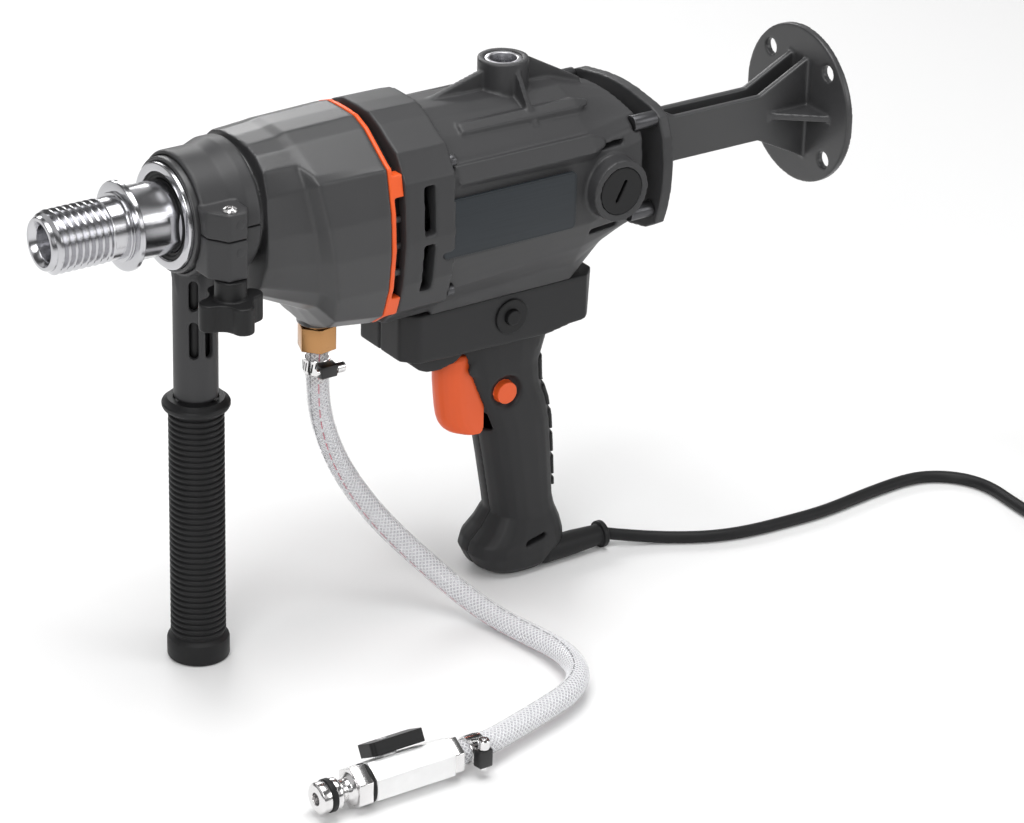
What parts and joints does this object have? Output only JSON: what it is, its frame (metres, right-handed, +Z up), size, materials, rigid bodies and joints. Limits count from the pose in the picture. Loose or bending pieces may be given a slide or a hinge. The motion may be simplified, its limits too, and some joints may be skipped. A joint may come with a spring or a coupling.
{
  "type": "hand-held core drill",
  "caption": "Hand-held wet core drill with threaded spindle, pistol grip, clamp-on side handle, water hose with ball valve, rig spade and power cable.",
  "frame": {"origin": "on the surface the tool stands on, under the middle of the tool without its hose and cable, in its plane of symmetry", "axes": "+X along the spindle axis from the drilling end to the rear disc, +Y to the far side, +Z up"},
  "size_m": [0.6495, 0.254, 0.29],
  "materials": {
    "graphite_plastic": "fine satin grain",
    "orange_plastic": "satin moulded plastic",
    "polished_steel": "ground and polished",
    "bright_plating": "bright nickel plating",
    "machined_brass": "machined, slightly matt",
    "black_rubber": "matt",
    "cast_graphite": "satin paint on die casting",
    "core_iron": "varnished laminations",
    "copper_bars": "copper bars",
    "label_film": "blank film",
    "clear_hose": "clear wall over white braid",
    "plug_brass": "machined",
    "black_plastic": "satin"
  },
  "bodies": {
    "drill_body": {"bearing_plate": "graphite_plastic", "bearing_retainer": "bright_plating", "brush_caps": "black_plastic", "brush_holders": "machined_brass", "cable_boot": "black_rubber", "cable_coil": "black_rubber", "carbon_brushes": "core_iron", "countershaft_bearings": "polished_steel", "gear_housing": "cast_graphite", "grip_pads": "black_rubber", "grip_screws": "bright_plating", "grip_shell_far": "graphite_plastic", "grip_shell_near": "graphite_plastic", "hose_clamps": "bright_plating", "hose_connector": "bright_plating", "hose_tail": "bright_plating", "housing_screws": "bright_plating", "motor_bearings": "polished_steel", "motor_housing": "graphite_plastic", "name_plate": "label_film", "plug": "black_plastic", "plug_pins": "plug_brass", "power_cable": "black_rubber", "rear_plate": "graphite_plastic", "reset_bezel": "black_plastic", "rig_spade": "cast_graphite", "shaft_seal": "black_rubber", "spacer_ring": "orange_plastic", "spindle_bearings": "polished_steel", "standoff_bolts": "core_iron", "stator": "core_iron", "switch_module": "black_plastic", "top_insert": "polished_steel", "valve_body": "bright_plating", "valve_nut": "bright_plating", "valve_seals": "black_rubber", "water_hose": "clear_hose", "water_inlet": "machined_brass"},
    "spindle_body": {"spindle": "polished_steel", "spindle_gear": "polished_steel", "spindle_circlip": "polished_steel"},
    "countershaft_body": {"countershaft": "polished_steel", "countershaft_gear": "polished_steel"},
    "armature_body": {"armature_shaft": "polished_steel", "armature_core": "core_iron", "commutator": "copper_bars", "fan": "black_plastic", "motor_pinion": "polished_steel"},
    "trigger_body": {"trigger": "orange_plastic"},
    "lock_button_body": {"lock_button": "orange_plastic"},
    "reset_button_body": {"reset_button": "black_rubber"},
    "side_handle": {"collar_upper": "graphite_plastic", "collar_lower": "graphite_plastic", "clamp_bolt": "polished_steel", "side_grip": "black_rubber"},
    "knob_body": {"clamp_knob": "black_plastic"},
    "valve_handle": {"valve_lever": "black_plastic", "valve_stem": "bright_plating", "valve_ball": "polished_steel"}
  },
  "joints": [
    {"name": "armature_spin", "type": "hinge", "parent": "drill_body", "child": "armature_body", "pos_m": [0, 0, 0.2264], "axis": [1, 0, 0], "continuous": true},
    {"name": "countershaft_spin", "type": "hinge", "parent": "drill_body", "child": "countershaft_body", "pos_m": [-0.08, 0.02028, 0.21357], "axis": [1, 0, 0], "continuous": true},
    {"name": "spindle_spin", "type": "hinge", "parent": "drill_body", "child": "spindle_body", "pos_m": [-0.15, 0, 0.246], "axis": [1, 0, 0], "continuous": true},
    {"name": "trigger_pull", "type": "hinge", "parent": "drill_body", "child": "trigger_body", "pos_m": [0.0145, 0, 0.126], "axis": [0, -1, 0], "range_deg": [0, 8], "stiffness_Nm_per_rad": 0.6, "springref_deg": -5.73},
    {"name": "lock_button_press", "type": "slide", "parent": "drill_body", "child": "lock_button_body", "axis": [0, 1, 0], "range_m": [0, 0.0025], "stiffness_N_per_m": 400, "springref_m": -0.003},
    {"name": "reset_button_press", "type": "slide", "parent": "drill_body", "child": "reset_button_body", "axis": [0, 1, 0], "range_m": [0, 0.002], "stiffness_N_per_m": 400, "springref_m": -0.003},
    {"name": "side_handle_swing", "type": "hinge", "parent": "drill_body", "child": "side_handle", "pos_m": [-0.1455, 0, 0.246], "axis": [1, 0, 0], "range_deg": [-180, 180]},
    {"name": "clamp_knob_turn", "type": "hinge", "parent": "side_handle", "child": "knob_body", "pos_m": [-0.149, -0.04, 0.21], "axis": [0, 0, 1], "continuous": true},
    {"name": "valve_lever_turn", "type": "hinge", "parent": "drill_body", "child": "valve_handle", "pos_m": [-0.1385, -0.1705, 0.011], "axis": [0, 0.5, 0.866], "range_deg": [0, 90]}
  ],
  "couplings": [
    {"joint": "countershaft_spin", "follows": "armature_spin", "ratio": -0.23077},
    {"joint": "spindle_spin", "follows": "armature_spin", "ratio": 0.063462}
  ]
}
